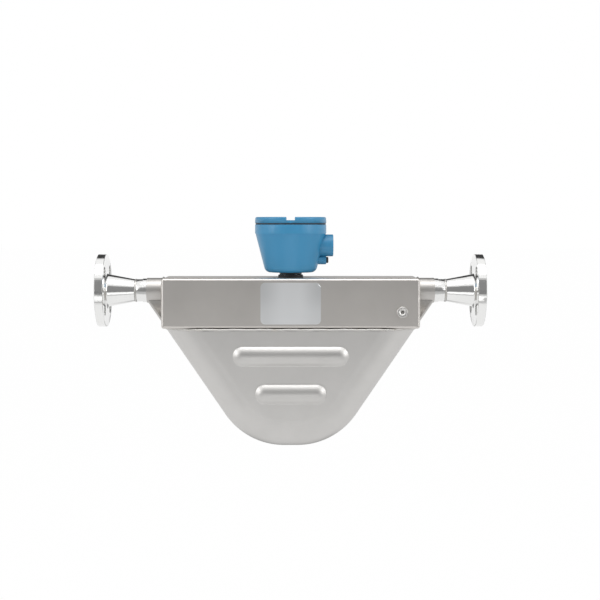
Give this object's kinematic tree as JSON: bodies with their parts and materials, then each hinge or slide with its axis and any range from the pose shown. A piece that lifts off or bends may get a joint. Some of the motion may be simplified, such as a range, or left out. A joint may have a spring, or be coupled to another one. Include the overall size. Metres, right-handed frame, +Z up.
{
  "type": "coriolis flow meter",
  "caption": "Coriolis mass flow meter with weld-neck flanges, a V-shaped steel pod below a flat housing and a round blue junction housing with a screw lid on top.",
  "frame": {"origin": "centre of the inlet flange's sealing face, on the pipe axis", "axes": "+X downstream along the pipe, +Z up through the junction housing, -Y towards the label side"},
  "size_m": [0.575, 0.1096, 0.3417],
  "materials": {
    "polished_steel": "polished",
    "weld_bead": "bright weld",
    "satin_steel": "satin, turned",
    "inner_steel": "satin",
    "housing_steel": "bead blasted",
    "pod_steel": "bead blasted",
    "tube_steel": "drawn, bright",
    "magnet_plating": "nickel plated",
    "coil_plastic": "matte",
    "copper_wire": "enamelled winding",
    "sensor_resin": "cured resin",
    "lead_insulation": "satin",
    "label_silver": "satin anodised",
    "black_rubber": "matte",
    "black_plastic": "satin",
    "blue_paint": "satin powder coat",
    "board_green": "solder mask",
    "black_screw": "black oxide"
  },
  "bodies": {
    "root": {"inlet_flange": "polished_steel", "outlet_flange": "polished_steel", "flange_welds": "weld_bead", "inlet_manifold": "satin_steel", "outlet_manifold": "satin_steel", "inlet_splitter": "inner_steel", "outlet_splitter": "inner_steel", "spigot_welds": "weld_bead", "upper_housing": "housing_steel", "pod_front": "pod_steel", "pod_back": "pod_steel", "pod_seam_weld": "weld_bead", "housing_weld": "weld_bead", "inlet_brace_plates": "inner_steel", "outlet_brace_plates": "inner_steel", "coil_leads": "lead_insulation", "sensor_leads": "lead_insulation", "feedthrough": "magnet_plating", "purge_boss": "inner_steel", "purge_plug": "polished_steel", "label_plate": "label_silver", "base_ring": "black_rubber", "neck_tube": "polished_steel", "neck_nut": "polished_steel"},
    "front_tube": {"flow_tube_front": "tube_steel", "drive_magnet": "magnet_plating", "drive_magnet_bracket": "inner_steel", "inlet_pickoff_magnet": "magnet_plating", "inlet_pickoff_magnet_bracket": "inner_steel", "outlet_pickoff_magnet": "magnet_plating", "outlet_pickoff_magnet_bracket": "inner_steel", "temperature_sensor": "sensor_resin"},
    "back_tube": {"flow_tube_back": "tube_steel", "drive_bobbin": "coil_plastic", "drive_coil": "copper_wire", "drive_coil_bracket": "inner_steel", "inlet_pickoff_bobbin": "coil_plastic", "inlet_pickoff_coil": "copper_wire", "inlet_pickoff_coil_bracket": "inner_steel", "outlet_pickoff_bobbin": "coil_plastic", "outlet_pickoff_coil": "copper_wire", "outlet_pickoff_coil_bracket": "inner_steel"},
    "head": {"neck_collar": "black_plastic", "junction_housing": "blue_paint", "conduit_boss": "blue_paint", "terminal_board": "board_green", "board_screws": "magnet_plating", "terminal_strips": "black_plastic", "terminal_screws": "magnet_plating", "ground_screw": "black_screw"},
    "lid_seal": {"lid_seal": "black_rubber"},
    "lid": {"lid": "blue_paint"}
  },
  "joints": [
    {"name": "front_tube_sway", "type": "hinge", "parent": "root", "child": "front_tube", "pos_m": [0.2875, -0.02, -0.0522], "axis": [1, 0, 0], "range_deg": [-0.1, 0.1], "stiffness_Nm_per_rad": 400},
    {"name": "back_tube_sway", "type": "hinge", "parent": "root", "child": "back_tube", "pos_m": [0.2875, 0.02, -0.0522], "axis": [1, 0, 0], "range_deg": [-0.1, 0.1], "stiffness_Nm_per_rad": 400},
    {"name": "head_swivel", "type": "hinge", "parent": "root", "child": "head", "pos_m": [0.2875, 0, 0.0605], "axis": [0, 0, 1], "range_deg": [-180, 180]},
    {"name": "lid_rise", "type": "slide", "parent": "head", "child": "lid_seal", "axis": [0, 0, 1], "range_m": [0, 0.01201]},
    {"name": "lid_turn", "type": "hinge", "parent": "lid_seal", "child": "lid", "pos_m": [0.2875, 0, 0.1], "axis": [0, 0, 1], "range_deg": [0, 2160]}
  ],
  "couplings": [
    {"joint": "back_tube_sway", "follows": "front_tube_sway", "ratio": -1},
    {"joint": "lid_rise", "follows": "lid_turn", "m_per_rad": 0.00031831}
  ]
}
